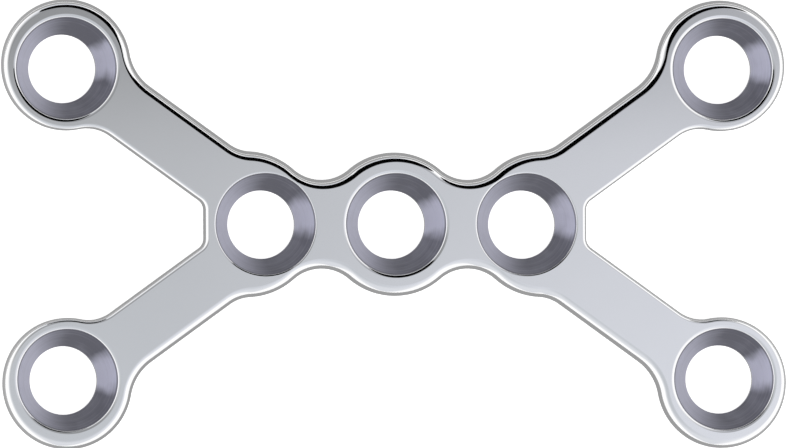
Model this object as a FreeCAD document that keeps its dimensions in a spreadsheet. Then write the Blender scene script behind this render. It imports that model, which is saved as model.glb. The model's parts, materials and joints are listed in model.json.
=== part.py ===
import FreeCAD, Part
import math
import os
import Sketcher

# Double-Y bone plate in one piece: three screw holes in a row along the middle,
# and at each end a fork of two arms that carry one round eyelet each.
# X runs along the plate, Y across it and Z up. The flat underside, which lies
# on the bone, is at Z = 0, and the middle hole is on the Z axis.

SIZE_TABLE = [
    ("plate_thickness", "1.2", "height of the flat top over the underside"),
    ("row_holes", "3", "holes in the middle row"),
    ("hole_pitch", "5.0", "between neighbouring holes of the middle row"),
    ("corner_hole_along", "12.57", "corner hole from the middle, along the plate"),
    ("corner_hole_across", "5.85", "corner hole from the middle, across the plate"),
    ("eyelet_outward_shift", "0.13", "corner eyelet stands this far outside its hole"),
    ("eyelet_setback", "0.04", "and this far nearer the middle, along the plate"),
    ("screw_hole_dia", "2.57", "through bore of every hole"),
    ("screw_land_height", "0.2", "upper end of the short straight bore"),
    ("countersink_dia", "3.83", "upper end of the countersink's cone"),
    ("lip_width", "0.06", "broken lip between the cone and the flat top, across"),
    ("lip_depth", "0.05", "the same lip, downwards"),
    ("bore_edge_break", "0.05", "small chamfer where the bores leave the underside"),
    ("eyelet_wall", "0.55", "corner eyelet's wall outside the countersink"),
    ("middle_pad_wall", "0.785", "wall round the countersink of the middle hole"),
    ("hub_wall", "0.83", "hub's wall, where the two arms meet"),
    ("hub_outward_shift", "0.67", "hub stands this far outside its hole"),
    ("waist_blend", "1.63", "scallop between the middle pad and a hub"),
    ("shoulder_blend", "1.46", "hollow where a hub runs into an arm's outer edge"),
    ("arm_width", "2.41", "constant width of each arm"),
    ("arm_root_setback", "0.83", "arm axes cross this far inside the end hole"),
    ("outer_eyelet_blend", "1.92", "hollow from an arm's outer edge into its eyelet"),
    ("inner_eyelet_blend", "1.49", "the same hollow inside the fork"),
    ("fork_corner_round", "0.45", "inner corners at the bottom of the fork"),
    ("fork_flat_width", "1.07", "straight stretch at the bottom of the fork"),
    ("top_edge_round", "0.38", "polished round of the outline at the top"),
    ("fork_edge_round", "0.17", "smaller round that the edges inside the fork keep"),
    ("edge_band_height", "0.07", "upright band between the round and the flank"),
    ("flank_lean", "0.2", "how far the flank leans inwards at the underside"),
    ("cutter_overrun", "0.6", "how far the hole cutter runs past both faces"),
]

STRAIGHT_UP = FreeCAD.Vector(0, 0, 1)
ORIGIN_GEOMETRY = -1
UPRIGHT_AXIS = -2
START = 1
END = 2
CENTER = 3
FULL_TURN = 2 * math.pi
SAME_HEIGHT = 0.00001

doc = FreeCAD.newDocument("double_y_bone_plate")

sizes = doc.addObject("Spreadsheet::Sheet", "sizes")
for row, (alias, value, meaning) in enumerate(SIZE_TABLE, start=1):
    sizes.set(f"A{row}", alias)
    sizes.set(f"B{row}", value)
    sizes.set(f"C{row}", meaning)
    sizes.setAlias(f"B{row}", alias)
doc.recompute()


def size(alias):
    return float(sizes.get(alias))


def flat_point(x, y):
    return FreeCAD.Vector(x, y, 0)


def towards(start, target, distance):
    way = target - start
    way.normalize()
    return start + way * distance


def arc_between(center, start, end):
    """Arc that runs counter-clockwise from start to end."""
    first = start - center
    last = end - center
    start_angle = math.atan2(first.y, first.x)
    end_angle = math.atan2(last.y, last.x)
    if end_angle <= start_angle:
        end_angle += FULL_TURN
    circle = Part.Circle(center, STRAIGHT_UP, first.Length)
    return Part.ArcOfCircle(circle, start_angle, end_angle)


def origin_plane(body, role):
    for feature in body.Origin.OriginFeatures:
        if feature.Role == role:
            return feature
    raise RuntimeError("the body has no origin plane " + role)


def bind(sketch, kind, *where, name, expression):
    """Dimension on a sketch, driven by the sheet."""
    start_value = abs(float(sketch.evalExpression(expression)))
    index = sketch.addConstraint(Sketcher.Constraint(kind, *where, start_value))
    sketch.renameConstraint(index, name)
    sketch.setExpression("Constraints." + name, expression)


def tie(sketch, kind, *where):
    sketch.addConstraint(Sketcher.Constraint(kind, *where))


blank = doc.addObject("PartDesign::Body", "plate_blank")

# One quarter of the outline, from the middle of the long side to the bottom
# of the fork. Lines and arcs run into each other without a corner.

middle_radius = size("countersink_dia") / 2 + size("middle_pad_wall")
hub_radius = size("countersink_dia") / 2 + size("hub_wall")
eyelet_radius = size("countersink_dia") / 2 + size("eyelet_wall")
half_arm = size("arm_width") / 2
half_fork_flat = size("fork_flat_width") / 2

middle = flat_point(0, 0)
hub = flat_point(size("hole_pitch") + size("hub_outward_shift"), 0)
eyelet = flat_point(size("corner_hole_along") - size("eyelet_setback"),
                    size("corner_hole_across") + size("eyelet_outward_shift"))
arm_root = flat_point(size("hole_pitch") - size("arm_root_setback"), 0)
arm_way = eyelet - arm_root
arm_way.normalize()
arm_outward = flat_point(-arm_way.y, arm_way.x)


def waist_center():
    """Center of the scallop that touches both the middle pad and the hub."""
    to_middle = middle_radius + size("waist_blend")
    to_hub = hub_radius + size("waist_blend")
    along = (to_middle ** 2 - to_hub ** 2 + hub.x ** 2) / (2 * hub.x)
    return flat_point(along, math.sqrt(to_middle ** 2 - along ** 2))


def blend_center(round_center, round_radius, blend_radius, side, direction):
    """Center of the hollow arc that touches a round end and one arm edge."""
    path_start = arm_root + arm_outward * (side * (half_arm + blend_radius))
    offset = path_start - round_center
    along = offset.dot(arm_way)
    reach = round_radius + blend_radius
    travel = direction * math.sqrt(along ** 2 - offset.dot(offset) + reach ** 2)
    return path_start + arm_way * (travel - along)


waist = waist_center()
middle_top = flat_point(0, middle_radius)
middle_leaves = towards(middle, waist, middle_radius)
hub_begins = towards(hub, waist, hub_radius)
shoulder = blend_center(hub, hub_radius, size("shoulder_blend"), 1, 1)
hub_leaves = towards(hub, shoulder, hub_radius)
outer_edge_begins = shoulder - arm_outward * size("shoulder_blend")
outer_blend = blend_center(eyelet, eyelet_radius, size("outer_eyelet_blend"), 1, -1)
outer_edge_ends = outer_blend - arm_outward * size("outer_eyelet_blend")
eyelet_ends = towards(eyelet, outer_blend, eyelet_radius)
inner_blend = blend_center(eyelet, eyelet_radius, size("inner_eyelet_blend"), -1, -1)
eyelet_begins = towards(eyelet, inner_blend, eyelet_radius)
inner_edge_begins = inner_blend + arm_outward * size("inner_eyelet_blend")
fork_travel = half_fork_flat + (half_arm + size("fork_corner_round")) * arm_outward.y
fork_center = (arm_root + arm_way * (fork_travel / arm_way.y)
               - arm_outward * (half_arm + size("fork_corner_round")))
inner_edge_ends = fork_center + arm_outward * size("fork_corner_round")
fork_flat_top = fork_center - flat_point(size("fork_corner_round"), 0)
fork_bottom = flat_point(fork_flat_top.x, 0)

outline = blank.newObject("Sketcher::SketchObject", "quarter_outline")
outline.AttachmentSupport = [(origin_plane(blank, "XY_Plane"), "")]
outline.MapMode = "FlatFace"

cross_line = outline.addGeometry(Part.LineSegment(middle, middle_top))
middle_arc = outline.addGeometry(arc_between(middle, middle_leaves, middle_top))
waist_arc = outline.addGeometry(arc_between(waist, middle_leaves, hub_begins))
hub_arc = outline.addGeometry(arc_between(hub, hub_leaves, hub_begins))
shoulder_arc = outline.addGeometry(arc_between(shoulder, hub_leaves, outer_edge_begins))
outer_edge = outline.addGeometry(Part.LineSegment(outer_edge_begins, outer_edge_ends))
outer_arc = outline.addGeometry(arc_between(outer_blend, outer_edge_ends, eyelet_ends))
eyelet_arc = outline.addGeometry(arc_between(eyelet, eyelet_begins, eyelet_ends))
inner_arc = outline.addGeometry(arc_between(inner_blend, eyelet_begins, inner_edge_begins))
inner_edge = outline.addGeometry(Part.LineSegment(inner_edge_begins, inner_edge_ends))
fork_arc = outline.addGeometry(arc_between(fork_center, inner_edge_ends, fork_flat_top))
fork_flat = outline.addGeometry(Part.LineSegment(fork_flat_top, fork_bottom))
long_line = outline.addGeometry(Part.LineSegment(fork_bottom, middle))
arm_axis = outline.addGeometry(Part.LineSegment(arm_root, eyelet), True)

tie(outline, "Coincident", cross_line, START, ORIGIN_GEOMETRY, START)
tie(outline, "Coincident", middle_arc, CENTER, ORIGIN_GEOMETRY, START)
tie(outline, "Coincident", long_line, END, cross_line, START)
tie(outline, "Coincident", cross_line, END, middle_arc, END)
tie(outline, "Coincident", fork_flat, END, long_line, START)
tie(outline, "Vertical", cross_line)
tie(outline, "Horizontal", long_line)
tie(outline, "Vertical", fork_flat)
tie(outline, "Tangent", middle_arc, START, waist_arc, START)
tie(outline, "Tangent", waist_arc, END, hub_arc, END)
tie(outline, "Tangent", hub_arc, START, shoulder_arc, START)
tie(outline, "Tangent", shoulder_arc, END, outer_edge, START)
tie(outline, "Tangent", outer_edge, END, outer_arc, START)
tie(outline, "Tangent", outer_arc, END, eyelet_arc, END)
tie(outline, "Tangent", eyelet_arc, START, inner_arc, START)
tie(outline, "Tangent", inner_arc, END, inner_edge, START)
tie(outline, "Tangent", inner_edge, END, fork_arc, START)
tie(outline, "Tangent", fork_arc, END, fork_flat, START)
tie(outline, "PointOnObject", hub_arc, CENTER, ORIGIN_GEOMETRY)
tie(outline, "PointOnObject", arm_axis, START, ORIGIN_GEOMETRY)
tie(outline, "Coincident", arm_axis, END, eyelet_arc, CENTER)
tie(outline, "Parallel", outer_edge, arm_axis)
tie(outline, "Parallel", inner_edge, arm_axis)

bind(outline, "Radius", middle_arc, name="middle_radius",
     expression="<<sizes>>.countersink_dia / 2 + <<sizes>>.middle_pad_wall")
bind(outline, "Radius", hub_arc, name="hub_radius",
     expression="<<sizes>>.countersink_dia / 2 + <<sizes>>.hub_wall")
bind(outline, "Radius", eyelet_arc, name="eyelet_radius",
     expression="<<sizes>>.countersink_dia / 2 + <<sizes>>.eyelet_wall")
bind(outline, "Radius", waist_arc, name="waist_radius",
     expression="<<sizes>>.waist_blend")
bind(outline, "Radius", shoulder_arc, name="shoulder_radius",
     expression="<<sizes>>.shoulder_blend")
bind(outline, "Radius", outer_arc, name="outer_blend_radius",
     expression="<<sizes>>.outer_eyelet_blend")
bind(outline, "Radius", inner_arc, name="inner_blend_radius",
     expression="<<sizes>>.inner_eyelet_blend")
bind(outline, "Radius", fork_arc, name="fork_radius",
     expression="<<sizes>>.fork_corner_round")
bind(outline, "DistanceX", ORIGIN_GEOMETRY, START, hub_arc, CENTER, name="hub_place",
     expression="<<sizes>>.hole_pitch + <<sizes>>.hub_outward_shift")
bind(outline, "DistanceX", ORIGIN_GEOMETRY, START, arm_axis, START, name="root_place",
     expression="<<sizes>>.hole_pitch - <<sizes>>.arm_root_setback")
bind(outline, "DistanceX", ORIGIN_GEOMETRY, START, eyelet_arc, CENTER, name="eyelet_along",
     expression="<<sizes>>.corner_hole_along - <<sizes>>.eyelet_setback")
bind(outline, "DistanceY", ORIGIN_GEOMETRY, START, eyelet_arc, CENTER, name="eyelet_across",
     expression="<<sizes>>.corner_hole_across + <<sizes>>.eyelet_outward_shift")
bind(outline, "Distance", outer_edge, START, arm_axis, name="outer_half_width",
     expression="<<sizes>>.arm_width / 2")
bind(outline, "Distance", inner_edge, START, arm_axis, name="inner_half_width",
     expression="<<sizes>>.arm_width / 2")
bind(outline, "DistanceY", fork_flat, END, fork_flat, START, name="half_fork_flat",
     expression="<<sizes>>.fork_flat_width / 2")

quarter = blank.newObject("PartDesign::Pad", "quarter_plate")
quarter.Profile = outline
quarter.setExpression("Length", "<<sizes>>.plate_thickness")
doc.recompute()

# The quarter is mirrored to the other end and then to the other side.

other_end = doc.addObject("PartDesign::Mirrored", "other_end")
other_end.MirrorPlane = (origin_plane(blank, "YZ_Plane"), [""])
other_side = doc.addObject("PartDesign::Mirrored", "other_side")
other_side.MirrorPlane = (origin_plane(blank, "XZ_Plane"), [""])
whole_blank = blank.newObject("PartDesign::MultiTransform", "whole_blank")
whole_blank.Originals = [quarter]
whole_blank.Transformations = [other_end, other_side]
whole_blank.Refine = True
blank.Tip = whole_blank
doc.recompute()


def edges_at_height(shape, height):
    """Numbers of the outline edges that lie flat at one height."""
    numbers = []
    for number, edge in enumerate(shape.Edges, start=1):
        box = edge.BoundBox
        if box.ZLength < SAME_HEIGHT and abs(box.ZMin - height) < SAME_HEIGHT:
            numbers.append(number)
    return numbers


def round_at(point):
    """The outline's top round at one point: small inside the fork, large elsewhere."""
    offset = flat_point(abs(point.x), abs(point.y)) - arm_root
    if offset.dot(arm_outward) > 0:
        return size("top_edge_round")
    return size("fork_edge_round")


# The polished round along the whole outline on top. It is large outside, small
# inside the fork, and changes from one to the other along each eyelet.

top_round = doc.addObject("Part::Fillet", "top_round")
top_round.Base = blank
rounded_edges = []
for number in edges_at_height(blank.Shape, size("plate_thickness")):
    edge = blank.Shape.Edges[number - 1]
    first = edge.firstVertex(True).Point
    last = edge.lastVertex(True).Point
    rounded_edges.append((number, round_at(first), round_at(last)))
top_round.Edges = rounded_edges
doc.recompute()

body = doc.addObject("PartDesign::Body", "bone_plate")
body.Label = "bone_plate"
body.BaseFeature = top_round
doc.recompute()

# Under the round the flank leans inwards, so that the underside is narrower
# than the top.

rounded_blank = body.Tip
bottom_edges = [f"Edge{number}" for number in edges_at_height(rounded_blank.Shape, 0)]
leaning_flank = body.newObject("PartDesign::Chamfer", "leaning_flank")
leaning_flank.Base = (rounded_blank, bottom_edges)
leaning_flank.ChamferType = "Two distances"
leaning_flank.setExpression(
    "Size", "<<sizes>>.plate_thickness - <<sizes>>.top_edge_round - <<sizes>>.edge_band_height")
leaning_flank.setExpression("Size2", "<<sizes>>.flank_lean")
body.Tip = leaning_flank
doc.recompute()


def screw_hole(name, along, across):
    """Countersunk hole, cut as one turned profile round its own axis."""
    bore = size("screw_hole_dia") / 2
    edge_break = size("bore_edge_break")
    rim = size("countersink_dia") / 2
    top = size("plate_thickness")
    low = -size("cutter_overrun")
    high = top + size("cutter_overrun")
    cone_end = flat_point(rim, top - size("lip_depth"))
    lip_slope = flat_point(size("lip_width"), size("lip_depth"))
    lip_end = cone_end + lip_slope * ((high - cone_end.y) / lip_slope.y)

    profile = body.newObject("Sketcher::SketchObject", name + "_profile")
    profile.AttachmentSupport = [(origin_plane(body, "YZ_Plane"), "")]
    profile.MapMode = "FlatFace"
    profile.setExpression("AttachmentOffset.Base.x", across)
    profile.setExpression("AttachmentOffset.Base.z", along)

    corners = [
        flat_point(0, low),
        flat_point(bore + edge_break, low),
        flat_point(bore + edge_break, 0),
        flat_point(bore, edge_break),
        flat_point(bore, size("screw_land_height")),
        cone_end,
        lip_end,
        flat_point(0, high),
    ]
    loop = [
        profile.addGeometry(Part.LineSegment(one, two))
        for one, two in zip(corners, corners[1:] + corners[:1])
    ]
    bottom, relief, chamfer, wall, cone, lip, roof, axis = loop
    lip_mark = profile.addGeometry(Part.Point(cone_end + lip_slope), True)

    for one, two in zip(loop, loop[1:] + loop[:1]):
        tie(profile, "Coincident", one, END, two, START)
    for level in (bottom, roof):
        tie(profile, "Horizontal", level)
    for upright in (relief, wall, axis):
        tie(profile, "Vertical", upright)
    tie(profile, "PointOnObject", axis, END, UPRIGHT_AXIS)
    tie(profile, "PointOnObject", relief, END, ORIGIN_GEOMETRY)
    tie(profile, "PointOnObject", lip_mark, START, lip)

    bind(profile, "DistanceY", bottom, START, ORIGIN_GEOMETRY, START, name="overrun_below",
         expression="<<sizes>>.cutter_overrun")
    bind(profile, "DistanceY", lip_mark, START, lip, END, name="overrun_above",
         expression="<<sizes>>.cutter_overrun")
    bind(profile, "DistanceX", ORIGIN_GEOMETRY, START, wall, START, name="bore_radius",
         expression="<<sizes>>.screw_hole_dia / 2")
    bind(profile, "DistanceX", wall, START, chamfer, START, name="break_across",
         expression="<<sizes>>.bore_edge_break")
    bind(profile, "DistanceY", ORIGIN_GEOMETRY, START, wall, START, name="break_up",
         expression="<<sizes>>.bore_edge_break")
    bind(profile, "DistanceY", ORIGIN_GEOMETRY, START, wall, END, name="land_height",
         expression="<<sizes>>.screw_land_height")
    bind(profile, "DistanceX", ORIGIN_GEOMETRY, START, cone, END, name="rim_radius",
         expression="<<sizes>>.countersink_dia / 2")
    bind(profile, "DistanceX", cone, END, lip_mark, START, name="lip_width",
         expression="<<sizes>>.lip_width")
    bind(profile, "DistanceY", cone, END, lip_mark, START, name="lip_depth",
         expression="<<sizes>>.lip_depth")
    bind(profile, "DistanceY", ORIGIN_GEOMETRY, START, lip_mark, START, name="top_height",
         expression="<<sizes>>.plate_thickness")

    hole = body.newObject("PartDesign::Groove", name)
    hole.Profile = profile
    hole.ReferenceAxis = (profile, ["V_Axis"])
    hole.Angle = math.degrees(FULL_TURN)
    body.Tip = hole
    doc.recompute()
    return hole


# The row starts at the left end hole and keeps the middle hole at the origin.

row_hole = screw_hole("row_hole", "-<<sizes>>.hole_pitch * (<<sizes>>.row_holes - 1) / 2", "0")
row = body.newObject("PartDesign::LinearPattern", "row_of_holes")
row.Originals = [row_hole]
row.Direction = (origin_plane(body, "X_Axis"), [""])
row.setExpression("Length", "<<sizes>>.hole_pitch * (<<sizes>>.row_holes - 1)")
row.setExpression("Occurrences", "<<sizes>>.row_holes")
body.Tip = row
doc.recompute()

corner_hole = screw_hole("corner_hole", "<<sizes>>.corner_hole_along",
                         "<<sizes>>.corner_hole_across")
corner_end = doc.addObject("PartDesign::Mirrored", "corner_other_end")
corner_end.MirrorPlane = (origin_plane(body, "YZ_Plane"), [""])
corner_side = doc.addObject("PartDesign::Mirrored", "corner_other_side")
corner_side.MirrorPlane = (origin_plane(body, "XZ_Plane"), [""])
corners_cut = body.newObject("PartDesign::MultiTransform", "four_corner_holes")
corners_cut.Originals = [corner_hole]
corners_cut.Transformations = [corner_end, corner_side]
body.Tip = corners_cut
doc.recompute()

body.Placement = FreeCAD.Placement(FreeCAD.Vector(0, 0, 0), FreeCAD.Rotation())
doc.recompute()

for item in doc.Objects:
    if "Invalid" in item.State or "Error" in item.State:
        raise RuntimeError(item.Name + " did not build")
plate = body.Shape
if plate.isNull() or not plate.isValid() or len(plate.Solids) != 1:
    raise RuntimeError("the plate is not one sound solid")

os.makedirs("parts", exist_ok=True)
plate.exportStep("parts/" + body.Label + ".step")

box = plate.optimalBoundingBox(False)
print(f"plate {box.XLength:.3f} x {box.YLength:.3f} x {box.ZLength:.3f} mm")
print(f"volume {plate.Volume:.3f} cubic mm, {len(plate.Faces)} faces")
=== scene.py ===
import json
import math

import bpy
from mathutils import Matrix, Vector


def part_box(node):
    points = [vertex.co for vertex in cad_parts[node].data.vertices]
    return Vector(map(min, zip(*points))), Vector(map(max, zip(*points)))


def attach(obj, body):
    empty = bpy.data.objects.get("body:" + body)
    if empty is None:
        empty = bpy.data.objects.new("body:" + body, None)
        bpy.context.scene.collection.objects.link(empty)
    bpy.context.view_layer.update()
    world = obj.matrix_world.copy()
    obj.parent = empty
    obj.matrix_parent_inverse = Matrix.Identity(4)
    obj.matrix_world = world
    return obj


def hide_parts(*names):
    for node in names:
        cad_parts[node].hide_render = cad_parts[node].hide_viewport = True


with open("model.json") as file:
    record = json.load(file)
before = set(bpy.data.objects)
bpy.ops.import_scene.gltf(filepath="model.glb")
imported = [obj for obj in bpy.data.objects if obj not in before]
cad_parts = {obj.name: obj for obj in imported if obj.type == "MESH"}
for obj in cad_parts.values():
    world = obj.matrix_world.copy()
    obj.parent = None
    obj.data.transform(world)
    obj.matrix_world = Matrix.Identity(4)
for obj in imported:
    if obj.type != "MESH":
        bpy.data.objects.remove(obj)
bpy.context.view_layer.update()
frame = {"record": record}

# Sizes of the plate in millimetres. It is modelled a thousand times its size
# and brought down to metres at the end, so that its fine rounds stay exact.

MILLIMETRE = 0.001
BORES = [mount for mount in frame["record"]["mounts"] if mount["kind"] == "bore"]
SCREW_HOLES = [tuple(place / MILLIMETRE for place in bore["pos_m"][:2]) for bore in BORES]
CLOSE_TO_ROW = 1
ROW_PITCH = max(x for x, y in SCREW_HOLES if abs(y) < CLOSE_TO_ROW)
CORNER_ALONG = max(x for x, y in SCREW_HOLES)
CORNER_ACROSS = max(y for x, y in SCREW_HOLES)
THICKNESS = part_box("bone_plate")[1][2] / MILLIMETRE

BORE_RADIUS = BORES[0]["dims"]["r_mm"]
BORE_BREAK = 0.05
LAND_HEIGHT = 0.2
RIM_RADIUS = 1.915
LIP_ROUND = 0.1
LIP_START = 50
LIP_END = 22
WORN_ROUND = 0.32
WORN_END = 6
NARROW_LIP = 0.5

MIDDLE_WALL = 0.785
HUB_WALL = 0.83
EYELET_WALL = 0.55
MIDDLE_RADIUS = RIM_RADIUS + MIDDLE_WALL
HUB_RADIUS = RIM_RADIUS + HUB_WALL
EYELET_RADIUS = RIM_RADIUS + EYELET_WALL
HUB_SHIFT = 0.67
EYELET_SHIFT = 0.13
EYELET_SETBACK = 0.04
WAIST_BLEND = 1.63
SHOULDER_BLEND = 1.46
OUTER_BLEND = 1.92
INNER_BLEND = 1.49
ARM_WIDTH = 2.41
ARM_ROOT_SETBACK = 0.83
FORK_ROUND = 0.45
FORK_FLAT = 1.07
TOP_ROUND = 0.38
ROUND_SHAPE = 0.44
FORK_EDGE_ROUND = 0.17
EDGE_BAND = 0.07
FLANK_LEAN = 0.2
FLANK_HEIGHT = THICKNESS - TOP_ROUND - EDGE_BAND

# Fineness of the mesh, and tolerances

ARC_STEP = 2.5
SHARP_ABOVE = 20
ROUND_STEPS = 16
HOLE_STEPS = 160
LIP_STEPS = 6
NEAR = 0.0001
ON_EYELET = 0.001


# Working in edit mode

def begin(name):
    """One loose point at the origin, ready to be drawn out into a line."""
    bpy.ops.object.select_all(action="DESELECT")
    bpy.ops.mesh.primitive_plane_add(size=1)
    piece = bpy.context.object
    piece.name = name
    bpy.ops.object.mode_set(mode="EDIT")
    bpy.ops.mesh.select_mode(type="VERT")
    bpy.ops.mesh.select_all(action="SELECT")
    bpy.ops.mesh.merge(type="CENTER")
    return piece


def draw_to(here, there):
    bpy.ops.mesh.extrude_region_move(TRANSFORM_OT_translate={"value": there - here})
    return there


def turn_round(center, degrees, axis, steps):
    """Sweeps the drawn end about a center; degrees count clockwise as the axis is looked down."""
    bpy.ops.mesh.spin(steps=steps, angle=math.radians(degrees), center=center, axis=axis)


def arc_to(here, center, there):
    """Arc in the flat from here to there, the short way."""
    first = here - center
    last = there - center
    degrees = math.degrees(first.xy.angle_signed(last.xy))
    steps = max(2, round(abs(degrees) / ARC_STEP))
    turn_round(center, degrees, (0, 0, 1), steps)
    return there


def pick(piece, kind, wanted):
    """Selects only the edges or faces that pass the test."""
    bpy.ops.mesh.select_mode(type="EDGE" if kind == "edges" else "FACE")
    bpy.ops.mesh.select_all(action="DESELECT")
    bpy.ops.object.mode_set(mode="OBJECT")
    for part in getattr(piece.data, kind):
        part.select = wanted(part)
    bpy.ops.object.mode_set(mode="EDIT")


def heights(piece, part):
    return [piece.data.vertices[number].co.z for number in part.vertices]


def all_at(piece, part, height):
    return all(abs(z - height) < NEAR for z in heights(piece, part))


def apply_modifier(kind, **settings):
    modifier = bpy.context.object.modifiers.new(kind.title(), kind)
    for setting, value in settings.items():
        setattr(modifier, setting, value)
    bpy.ops.object.modifier_apply(modifier=modifier.name)


# Outline: one quarter is drawn as tangent lines and arcs, then mirrored.

def toward(start, target, distance):
    return start + (target - start).normalized() * distance


def blend_center(round_center, round_radius, blend, side, direction):
    """Center of the hollow that touches a round end and one edge of the arm."""
    start = ARM_ROOT + ARM_OUTWARD * (side * (ARM_WIDTH / 2 + blend))
    offset = start - round_center
    along = offset.dot(ARM_WAY)
    reach = round_radius + blend
    travel = direction * math.sqrt(along ** 2 - offset.length_squared + reach ** 2)
    return start + ARM_WAY * (travel - along)


MIDDLE = Vector((0, 0, 0))
HUB = Vector((ROW_PITCH + HUB_SHIFT, 0, 0))
EYELET = Vector((CORNER_ALONG - EYELET_SETBACK, CORNER_ACROSS + EYELET_SHIFT, 0))
ARM_ROOT = Vector((ROW_PITCH - ARM_ROOT_SETBACK, 0, 0))
ARM_WAY = (EYELET - ARM_ROOT).normalized()
ARM_OUTWARD = Vector((-ARM_WAY.y, ARM_WAY.x, 0))
OUTER_CENTER = blend_center(EYELET, EYELET_RADIUS, OUTER_BLEND, 1, -1)
INNER_CENTER = blend_center(EYELET, EYELET_RADIUS, INNER_BLEND, -1, -1)


def waist_center():
    to_middle = MIDDLE_RADIUS + WAIST_BLEND
    to_hub = HUB_RADIUS + WAIST_BLEND
    along = (to_middle ** 2 - to_hub ** 2 + HUB.x ** 2) / (2 * HUB.x)
    return Vector((along, math.sqrt(to_middle ** 2 - along ** 2), 0))


def draw_outline():
    plate = begin("polished_plate")
    plate.data.materials.append(POLISHED)
    half_arm = ARM_WIDTH / 2
    waist = waist_center()
    shoulder = blend_center(HUB, HUB_RADIUS, SHOULDER_BLEND, 1, 1)
    fork_travel = FORK_FLAT / 2 + (half_arm + FORK_ROUND) * ARM_OUTWARD.y
    fork = (ARM_ROOT + ARM_WAY * (fork_travel / ARM_WAY.y)
            - ARM_OUTWARD * (half_arm + FORK_ROUND))
    far_end = EYELET + Vector((EYELET_RADIUS, 0, 0))

    here = Vector((0, MIDDLE_RADIUS, 0))
    bpy.ops.transform.translate(value=here)
    here = arc_to(here, MIDDLE, toward(MIDDLE, waist, MIDDLE_RADIUS))
    here = arc_to(here, waist, toward(HUB, waist, HUB_RADIUS))
    here = arc_to(here, HUB, toward(HUB, shoulder, HUB_RADIUS))
    here = arc_to(here, shoulder, shoulder - ARM_OUTWARD * SHOULDER_BLEND)
    here = draw_to(here, OUTER_CENTER - ARM_OUTWARD * OUTER_BLEND)
    here = arc_to(here, OUTER_CENTER, toward(EYELET, OUTER_CENTER, EYELET_RADIUS))
    here = arc_to(here, EYELET, far_end)
    here = arc_to(here, EYELET, toward(EYELET, INNER_CENTER, EYELET_RADIUS))
    here = arc_to(here, INNER_CENTER, INNER_CENTER + ARM_OUTWARD * INNER_BLEND)
    here = draw_to(here, fork + ARM_OUTWARD * FORK_ROUND)
    here = arc_to(here, fork, fork - Vector((FORK_ROUND, 0, 0)))
    draw_to(here, Vector((here.x, 0, 0)))
    bpy.ops.object.mode_set(mode="OBJECT")
    apply_modifier("MIRROR", use_axis=(True, True, False), merge_threshold=NEAR)
    return plate


def turn_from_x(way):
    """Degrees from the X axis to a direction, clockwise."""
    return math.degrees(Vector((1, 0)).angle_signed(way.xy))


def round_at(point):
    """Size of the top round: large outside, small in the fork, graded along each eyelet."""
    corner = Vector((abs(point.x), abs(point.y), 0))
    spoke = corner - EYELET
    if abs(spoke.length - EYELET_RADIUS) < ON_EYELET:
        inner_end = turn_from_x(INNER_CENTER - EYELET)
        outer_end = turn_from_x(OUTER_CENTER - EYELET)
        share = (inner_end - turn_from_x(spoke)) / (inner_end - outer_end)
        share = min(max(share, 0), 1)
        return FORK_EDGE_ROUND + (TOP_ROUND - FORK_EDGE_ROUND) * share * share * (3 - 2 * share)
    if (corner - ARM_ROOT).dot(ARM_OUTWARD) > 0:
        return TOP_ROUND
    return FORK_EDGE_ROUND


def mark_rounds(plate):
    """Gives each edge of the top its share of the full round, as its bevel weight."""
    bpy.ops.object.mode_set(mode="OBJECT")
    shares = {}
    for edge in plate.data.edges:
        if all_at(plate, edge, THICKNESS):
            first, last = [plate.data.vertices[number].co for number in edge.vertices]
            shares[edge.index] = round(round_at((first + last) / 2) / TOP_ROUND, 3)
    bpy.ops.object.mode_set(mode="EDIT")
    for share in sorted(set(shares.values())):
        pick(plate, "edges", lambda edge, share=share: shares.get(edge.index) == share)
        bpy.ops.transform.edge_bevelweight(value=share)


def thicken_and_round(plate):
    """The outline becomes a slab with a polished round on top and flanks that lean inwards."""
    bpy.ops.object.mode_set(mode="EDIT")
    bpy.ops.mesh.select_all(action="SELECT")
    bpy.ops.mesh.edge_face_add()
    bpy.ops.transform.translate(value=(0, 0, FLANK_HEIGHT))
    upper_part = (0, 0, THICKNESS - FLANK_HEIGHT)
    bpy.ops.mesh.extrude_region_move(TRANSFORM_OT_translate={"value": upper_part})
    mark_rounds(plate)
    bpy.ops.object.mode_set(mode="OBJECT")
    apply_modifier("BEVEL", limit_method="WEIGHT", width=TOP_ROUND, segments=ROUND_STEPS,
                   profile=ROUND_SHAPE, use_clamp_overlap=False)
    bpy.ops.object.mode_set(mode="EDIT")
    pick(plate, "polygons", lambda face: all_at(plate, face, FLANK_HEIGHT))
    bpy.ops.mesh.normals_make_consistent(inside=False)
    bpy.ops.mesh.inset(thickness=FLANK_LEAN, depth=FLANK_HEIGHT)
    pick(plate, "polygons", lambda face: all_at(plate, face, THICKNESS) or all_at(plate, face, 0))
    bpy.ops.mesh.delete(type="ONLY_FACE")
    bpy.ops.object.mode_set(mode="OBJECT")


def tilted(degrees):
    """Upward direction, leaning towards the axis of the hole."""
    return Vector((-math.sin(math.radians(degrees)), 0, math.cos(math.radians(degrees))))


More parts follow.
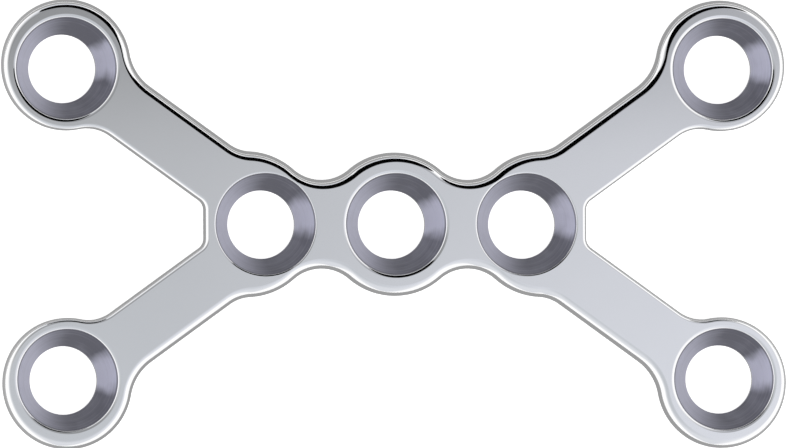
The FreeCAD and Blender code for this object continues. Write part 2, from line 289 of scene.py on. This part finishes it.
def turn_hole_lining(lip_share):
    """Inside of one countersunk hole with its worn rim: a drawn profile turned round its axis."""
    lining = begin("hole_lining")
    lining.data.materials.append(POLISHED)
    lining.data.materials.append(TURNED)
    lip = LIP_ROUND * lip_share
    worn = WORN_ROUND * lip_share
    steep = tilted(LIP_START)
    gentle = tilted(LIP_END)
    worn_center = Vector((RIM_RADIUS, 0, THICKNESS)) - tilted(WORN_END) * worn
    worn_center.x = RIM_RADIUS - steep.x * lip - gentle.x * (worn - lip)
    lip_center = worn_center + gentle * (worn - lip)
    cone_end = lip_center + steep * lip
    here = Vector((BORE_RADIUS + BORE_BREAK, 0, 0))
    bpy.ops.transform.translate(value=here)
    here = draw_to(here, Vector((BORE_RADIUS, 0, BORE_BREAK)))
    here = draw_to(here, Vector((BORE_RADIUS, 0, LAND_HEIGHT)))
    draw_to(here, cone_end)
    turn_round(lip_center, LIP_END - LIP_START, (0, 1, 0), LIP_STEPS)
    turn_round(worn_center, WORN_END - LIP_END, (0, 1, 0), LIP_STEPS)
    bpy.ops.mesh.select_all(action="SELECT")
    bpy.ops.mesh.spin(steps=HOLE_STEPS, angle=2 * math.pi, center=(0, 0, 0), axis=(0, 0, 1))
    bpy.ops.mesh.select_all(action="SELECT")
    bpy.ops.mesh.remove_doubles(threshold=NEAR)
    pick(lining, "polygons", lambda face: max(heights(lining, face)) < cone_end.z + NEAR
         and max(heights(lining, face)) > LAND_HEIGHT + NEAR)
    lining.active_material_index = 1
    bpy.ops.object.material_slot_assign()
    bpy.ops.object.mode_set(mode="OBJECT")
    return lining


def join_holes(plate, wide, narrow):
    """Puts a lining in every hole; the rims at the hubs are narrow, as the top round is near."""
    linings = []
    for x, y in SCREW_HOLES:
        at_hub = abs(abs(x) - ROW_PITCH) < NEAR
        lining = narrow if at_hub else wide
        bpy.ops.object.select_all(action="DESELECT")
        lining.select_set(True)
        bpy.context.view_layer.objects.active = lining
        bpy.ops.object.duplicate()
        bpy.ops.transform.translate(value=(x, y, 0))
        bpy.ops.object.transform_apply()
        linings.append(bpy.context.object)
    bpy.data.objects.remove(wide)
    bpy.data.objects.remove(narrow)
    bpy.ops.object.select_all(action="DESELECT")
    for piece in linings + [plate]:
        piece.select_set(True)
    bpy.context.view_layer.objects.active = plate
    bpy.ops.object.join()


def close_faces(plate):
    """Fills the flat top and the underside between the outline and the holes."""
    bpy.ops.object.mode_set(mode="EDIT")
    for height in (THICKNESS, 0):
        pick(plate, "edges", lambda edge, height=height: all_at(plate, edge, height))
        bpy.ops.mesh.fill()
        bpy.ops.mesh.mod_weighted_strength(set=True, face_strength="STRONG")
    bpy.ops.mesh.select_all(action="SELECT")
    bpy.ops.mesh.remove_doubles(threshold=NEAR)
    bpy.ops.mesh.normals_make_consistent(inside=False)
    bpy.ops.object.mode_set(mode="OBJECT")


def finish_plate(plate):
    bpy.ops.object.shade_smooth_by_angle(angle=math.radians(SHARP_ABOVE))
    apply_modifier("WEIGHTED_NORMAL", keep_sharp=True, use_face_influence=True)
    plate.scale = (MILLIMETRE, MILLIMETRE, MILLIMETRE)
    bpy.ops.object.transform_apply()


# Surface finishes

class Socket:
    """A shader value that can be written in sums."""

    def __init__(self, finish, output):
        self.finish = finish
        self.output = output

    def do(self, operation, *others):
        return self.finish.node("ShaderNodeMath", {"operation": operation}, (self, *others))

    def __add__(self, other):
        return self.do("ADD", other)

    def __sub__(self, other):
        return self.do("SUBTRACT", other)

    def __rsub__(self, other):
        return self.finish.node("ShaderNodeMath", {"operation": "SUBTRACT"}, (other, self))

    def __mul__(self, other):
        return self.do("MULTIPLY", other)

    def __abs__(self):
        return self.do("ABSOLUTE")


class Finish:
    """Node tree of a material or of the world."""

    def __init__(self, tree):
        self.tree = tree
        tree.nodes.clear()

    def node(self, kind, settings=None, values=(), out=0):
        made = self.tree.nodes.new(kind)
        for setting, value in (settings or {}).items():
            setattr(made, setting, value)
        pairs = values.items() if isinstance(values, dict) else enumerate(values)
        for name, value in pairs:
            if isinstance(value, Socket):
                self.tree.links.new(value.output, made.inputs[name])
            else:
                made.inputs[name].default_value = value
        return Socket(self, made.outputs[out]) if len(made.outputs) else None


def new_material(name):
    material = bpy.data.materials.new(name)
    material.use_nodes = True
    return material, Finish(material.node_tree)


def place_in_mm(finish):
    place = finish.node("ShaderNodeTexCoord", out="Object")
    return finish.node("ShaderNodeVectorMath", {"operation": "SCALE"},
                       {"Vector": place, "Scale": 1 / MILLIMETRE})


def along_and_across(finish, place):
    """The X and Y part of a place."""
    split = finish.node("ShaderNodeSeparateXYZ", {}, (place,)).output.node
    return Socket(finish, split.outputs["X"]), Socket(finish, split.outputs["Y"])


def grey(value):
    return (value, value, value, 1)


def mixed(finish, share, first, second):
    """Colour between two others."""
    return finish.node("ShaderNodeMix", {"data_type": "RGBA"},
                       {"Factor": share, 6: first, 7: second}, out=2)


def steps_between(finish, value, low, high):
    """Smooth rise from 0 to 1 as a value goes from one limit to the other."""
    return finish.node("ShaderNodeMapRange", {"interpolation_type": "SMOOTHSTEP"},
                       (value, low, high, 0, 1))


def from_nearest_hole(finish, place):
    """Place as seen from the nearest hole: along, across and distance, in millimetres."""
    along, across = along_and_across(finish, place)
    row_place = (along * (1 / ROW_PITCH)).do("ROUND").do("MINIMUM", 1).do("MAXIMUM", -1)
    at_corner = abs(along).do("GREATER_THAN", (ROW_PITCH + CORNER_ALONG) / 2)
    in_row = 1 - at_corner
    hole_along = row_place * in_row * ROW_PITCH + along.do("SIGN") * at_corner * CORNER_ALONG
    hole_across = across.do("SIGN") * at_corner * CORNER_ACROSS
    away_along = along - hole_along
    away_across = across - hole_across
    radius = (away_along * away_along + away_across * away_across).do("SQRT")
    return away_along, away_across, radius


POLISHED_COLORS = ((0.92, 0.92, 0.93, 1), (0.96, 0.96, 0.965, 1))
MARK_DEPTH = 0.0002


def polished_steel():
    """Hand-polished steel: a clear mirror, a little cloudy, with the finest buffing marks."""
    material, finish = new_material("polished_steel")
    place = place_in_mm(finish)
    cloud = finish.node("ShaderNodeTexNoise", {}, {"Vector": place, "Scale": 0.35, "Detail": 3})
    marks = finish.node("ShaderNodeTexNoise", {}, {"Vector": place, "Scale": 9, "Detail": 4})
    color = mixed(finish, cloud, *POLISHED_COLORS)
    bump = finish.node("ShaderNodeBump", {}, {
        "Height": marks * MARK_DEPTH,
        "Strength": 1,
        "Distance": MILLIMETRE,
    })
    surface = finish.node("ShaderNodeBsdfPrincipled", {}, {
        "Base Color": color,
        "Metallic": 1,
        "Roughness": cloud * 0.03 + marks * 0.02 + 0.03,
        "Normal": bump,
    })
    finish.node("ShaderNodeOutputMaterial", {}, {"Surface": surface})
    return material


# Dark end: painted shade of the countersinks; light end: their painted highlight. The rings' grain
# also varies between the two.
TURNED_SHADE_AND_HIGHLIGHT_COLORS = ((0.215, 0.215, 0.255, 1), (0.78, 0.78, 0.93, 1))
RING_DEPTH = 0.01
# Band just inside the rim where the painted highlight fades, leaving a painted shade line.
RIM_SHADE_LINE = (RIM_RADIUS - 0.06, RIM_RADIUS - 0.03)


def turned_steel_painted_light():
    """Countersinks as the tool leaves them: satin, with fine rings in the bump. Their colour holds
    painted light: bright painted highlights in bows to the left and right of each hole, a slightly
    lighter front side, painted shade in the sectors between and a painted shade line just inside
    the rim.
    """
    material, finish = new_material("turned_steel_painted_light")
    place = place_in_mm(finish)
    away_along, away_across, radius = from_nearest_hole(finish, place)
    rings = finish.node("ShaderNodeTexNoise", {"noise_dimensions": "1D"},
                        {"W": radius, "Scale": 14, "Detail": 3, "Roughness": 0.7})
    fine = finish.node("ShaderNodeTexNoise", {"noise_dimensions": "1D"},
                       {"W": radius, "Scale": 45, "Detail": 2})
    patches = finish.node("ShaderNodeTexNoise", {}, {"Vector": place, "Scale": 1.2, "Detail": 2})
    side = away_along.do("DIVIDE", radius)
    rise = away_across.do("DIVIDE", radius)
    # Painted light by the angle round the hole: the front side a little lighter, bright painted
    # highlights in bows to the left and right.
    front = steps_between(finish, rise, 0.3, -0.9)
    left_painted_highlight = steps_between(finish, side + patches * 0.2, 0.3, -1.0)
    right_painted_highlight = steps_between(finish, side + rise * 0.2 + patches * 0.1, 0.9, 1.06)
    painted_highlight = left_painted_highlight.do("MAXIMUM", right_painted_highlight)
    # Painted shade line at the rim: the painted highlight falls to three tenths there.
    rim_shade_line = steps_between(finish, radius, *RIM_SHADE_LINE)
    grain = rings * 0.5 + patches * 0.5 - 0.5
    # Colour share: painted highlight and painted shade, with the rings' grain.
    share = painted_highlight * (1 - rim_shade_line * 0.7) + front * 0.08 + grain * 0.8
    color = mixed(finish, share, *TURNED_SHADE_AND_HIGHLIGHT_COLORS)
    bump = finish.node("ShaderNodeBump", {}, {
        "Height": rings * 0.7 + fine * 0.3,
        "Strength": 1,
        "Distance": RING_DEPTH * MILLIMETRE,
    })
    surface = finish.node("ShaderNodeBsdfPrincipled", {}, {
        "Base Color": color,
        "Metallic": 0.4,
        "Roughness": fine * 0.1 + 0.25,
        "Normal": bump,
    })
    finish.node("ShaderNodeOutputMaterial", {}, {"Surface": surface})
    return material


# Studio: white table, a soft lamp and the cards that the steel mirrors.
# Heights, half widths and corners of the cards are in millimetres.

TABLE_RADIUS = 4
TABLE_DROP = 0.03
SILK_HEIGHT = 50
SILK_HALF = 900
SILK_FRONT = ((0.56, 0.585, 0.62, 1), (0.74, 0.76, 0.82, 1))
SILK_BACK = ((0.44, 0.45, 0.465, 1), (0.62, 0.635, 0.68, 1))
SILK_SIDES = (0.74, 0.76, 0.80, 1)
SILK_ENDS = 1.1
SILK_FAR_BACK = 0.36
# Dim card for the painted shade of the floor that the steel mirrors.
GROUND_DROP = 0.02
GROUND_HALF = 60
FLOOR_SHADE_MIDDLE = 0.35
FLOOR_SHADE_ENDS = 0.48
GAP_HEIGHT = 25
GAP_CORNERS = [(-3, 8), (-2.5, 6.8), (6, 6.8), (12, 13.5), (17.5, 18.5), (34, 34),
               (36, 45), (-22, 45), (-18, 27), (-8, 14)]
LAMP_PLACE = Vector((0.1, -0.2, 0.5))
LAMP_SIZE = 0.6
LAMP_POWER = 1.2

def light_path(finish, *rays):
    """1 for the named kinds of ray, 0 for the others."""
    path = finish.node("ShaderNodeLightPath").output.node
    total = Socket(finish, path.outputs[rays[0]])
    for ray in rays[1:]:
        total = total.do("MAXIMUM", Socket(finish, path.outputs[ray]))
    return total


BACKGROUND_RAYS = ("Is Camera Ray", "Is Glossy Ray", "Is Transmission Ray")


def white_table():
    bpy.ops.mesh.primitive_circle_add(vertices=96, radius=TABLE_RADIUS, fill_type="NGON",
                                      location=(0, 0, -TABLE_DROP * MILLIMETRE))
    table = bpy.context.object
    table.name = "white_table"
    material, finish = new_material("white_paper")
    seen = light_path(finish, *BACKGROUND_RAYS)
    paper = finish.node("ShaderNodeBsdfDiffuse", {}, {"Color": grey(0.8)})
    shine = finish.node("ShaderNodeEmission", {}, {"Color": grey(1), "Strength": seen * 0.8})
    both = finish.node("ShaderNodeAddShader", {}, (paper, shine))
    finish.node("ShaderNodeOutputMaterial", {}, {"Surface": both})
    table.data.materials.append(material)


def white_surroundings():
    world = bpy.data.worlds.new("white_surroundings")
    bpy.context.scene.world = world
    world.use_nodes = True
    finish = Finish(world.node_tree)
    seen = light_path(finish, *BACKGROUND_RAYS)
    sky = finish.node("ShaderNodeBackground", {}, {"Color": grey(1), "Strength": seen * 0.6 + 0.4})
    finish.node("ShaderNodeOutputWorld", {}, {"Surface": sky})


def card_place(finish):
    """Place on a card in millimetres, along and across the plate."""
    return along_and_across(finish, place_in_mm(finish))


def give_glow(finish, color):
    light = finish.node("ShaderNodeEmission", {}, {"Color": color, "Strength": 1})
    finish.node("ShaderNodeOutputMaterial", {}, {"Surface": light})


def silk():
    """Light cloth over the plate: dimmer at the back left and far back, white at both ends."""
    material, finish = new_material("overhead_silk")
    along, across = card_place(finish)
    to_right = steps_between(finish, along, -8, 28)
    to_back = steps_between(finish, across, -12, 12)
    front = mixed(finish, to_right, *SILK_FRONT)
    back = mixed(finish, to_right, *SILK_BACK)
    near = mixed(finish, to_back, front, back)
    near = mixed(finish, steps_between(finish, across, 3, 11) * 0.35, near, grey(0))
    ends = steps_between(finish, along, 20, 62) + steps_between(finish, along, -18, -76)
    sides = steps_between(finish, abs(across), 20, 70)
    outer = mixed(finish, sides, near, SILK_SIDES)
    whole = mixed(finish, ends.do("MINIMUM", 1), outer, grey(SILK_ENDS))
    far_back = steps_between(finish, across, 100, 170)
    give_glow(finish, mixed(finish, far_back, whole, grey(SILK_FAR_BACK)))
    return material


def ground():
    """What the steep edges mirror round the plate: painted shade of the floor, a dim glowing card
    seen in place of the white table, lighter at both ends.
    """
    material, finish = new_material("floor_shade_card")
    along = card_place(finish)[0]
    to_ends = steps_between(finish, abs(along), 10, 22)
    give_glow(finish, mixed(finish, to_ends, grey(FLOOR_SHADE_MIDDLE), grey(FLOOR_SHADE_ENDS)))
    return material


def dark():
    material, finish = new_material("dark_gap")
    give_glow(finish, grey(0))
    return material


def as_card(piece, name, material):
    """A card that only the steel can see."""
    piece.name = name
    piece.data.materials.append(material)
    piece.visible_camera = False
    piece.visible_diffuse = False
    piece.visible_shadow = False


def level_card(name, height, half_size, material):
    bpy.ops.object.select_all(action="DESELECT")
    bpy.ops.mesh.primitive_plane_add(size=2 * half_size * MILLIMETRE,
                                     location=(0, 0, height * MILLIMETRE))
    bpy.ops.object.transform_apply()
    as_card(bpy.context.object, name, material)


def shaped_card(name, height, corners, material):
    made = begin(name)
    places = [Vector((x, y, height)) for x, y in corners]
    bpy.ops.transform.translate(value=places[0])
    here = places[0]
    for there in places[1:]:
        here = draw_to(here, there)
    bpy.ops.mesh.select_all(action="SELECT")
    bpy.ops.mesh.edge_face_add()
    bpy.ops.object.mode_set(mode="OBJECT")
    made.scale = (MILLIMETRE, MILLIMETRE, MILLIMETRE)
    bpy.ops.object.transform_apply()
    as_card(made, name, material)


def studio():
    white_table()
    white_surroundings()
    level_card("overhead_silk", SILK_HEIGHT, SILK_HALF, silk())
    # Dim card under the plate: painted shade of the floor in the steel's reflections.
    level_card("floor_shade_card", -GROUND_DROP, GROUND_HALF, ground())
    shaped_card("dark_gap", GAP_HEIGHT, GAP_CORNERS, dark())

    bpy.ops.object.light_add(type="AREA", location=LAMP_PLACE)
    lamp = bpy.context.object
    lamp.name = "soft_lamp"
    lamp.data.shape = "DISK"
    lamp.data.size = LAMP_SIZE
    lamp.data.energy = LAMP_POWER
    lamp.rotation_euler = LAMP_PLACE.to_track_quat("Z", "Y").to_euler()
    lamp.visible_glossy = False


# Camera: far away, a little to the left and to the front of square. Its tilts are in degrees.

LENS = 900
SENSOR = 36
PICTURE_WIDTH = 788
PICTURE_HEIGHT = 448
PIXELS_PER_MM = 26.59
CENTER_PIXEL = (396.5, 224.0)
TILT_LEFT = 11.0
TILT_FRONT = 1.4


def place_camera():
    bpy.ops.object.camera_add()
    camera = bpy.context.object
    camera.name = "camera"
    camera.data.lens = LENS
    camera.data.sensor_width = SENSOR
    distance = LENS / SENSOR * PICTURE_WIDTH / PIXELS_PER_MM
    left = math.radians(TILT_LEFT)
    front = math.radians(TILT_FRONT)
    back = Vector((-math.sin(left), -math.sin(front) * math.cos(left),
                   math.cos(front) * math.cos(left)))
    level = Vector((1, 0, 0))
    right = (level - back * level.dot(back)).normalized()
    up = back.cross(right)
    target = Vector((0, 0, THICKNESS))
    off_right = (PICTURE_WIDTH / 2 - CENTER_PIXEL[0]) / PIXELS_PER_MM
    off_up = (CENTER_PIXEL[1] - PICTURE_HEIGHT / 2) / PIXELS_PER_MM
    place = target + right * off_right + up * off_up + back * distance
    camera.location = place * MILLIMETRE
    camera.rotation_euler = Matrix((right, up, back)).transposed().to_euler()
    camera.data.clip_start = 0.01
    camera.data.clip_end = 10
    bpy.context.scene.camera = camera


POLISHED = polished_steel()
TURNED = turned_steel_painted_light()

plate = draw_outline()
thicken_and_round(plate)
join_holes(plate, turn_hole_lining(1), turn_hole_lining(NARROW_LIP))
close_faces(plate)
finish_plate(plate)

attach(plate, "root")
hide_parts("bone_plate")

studio()
place_camera()

bpy.context.scene.view_settings.view_transform = "Standard"
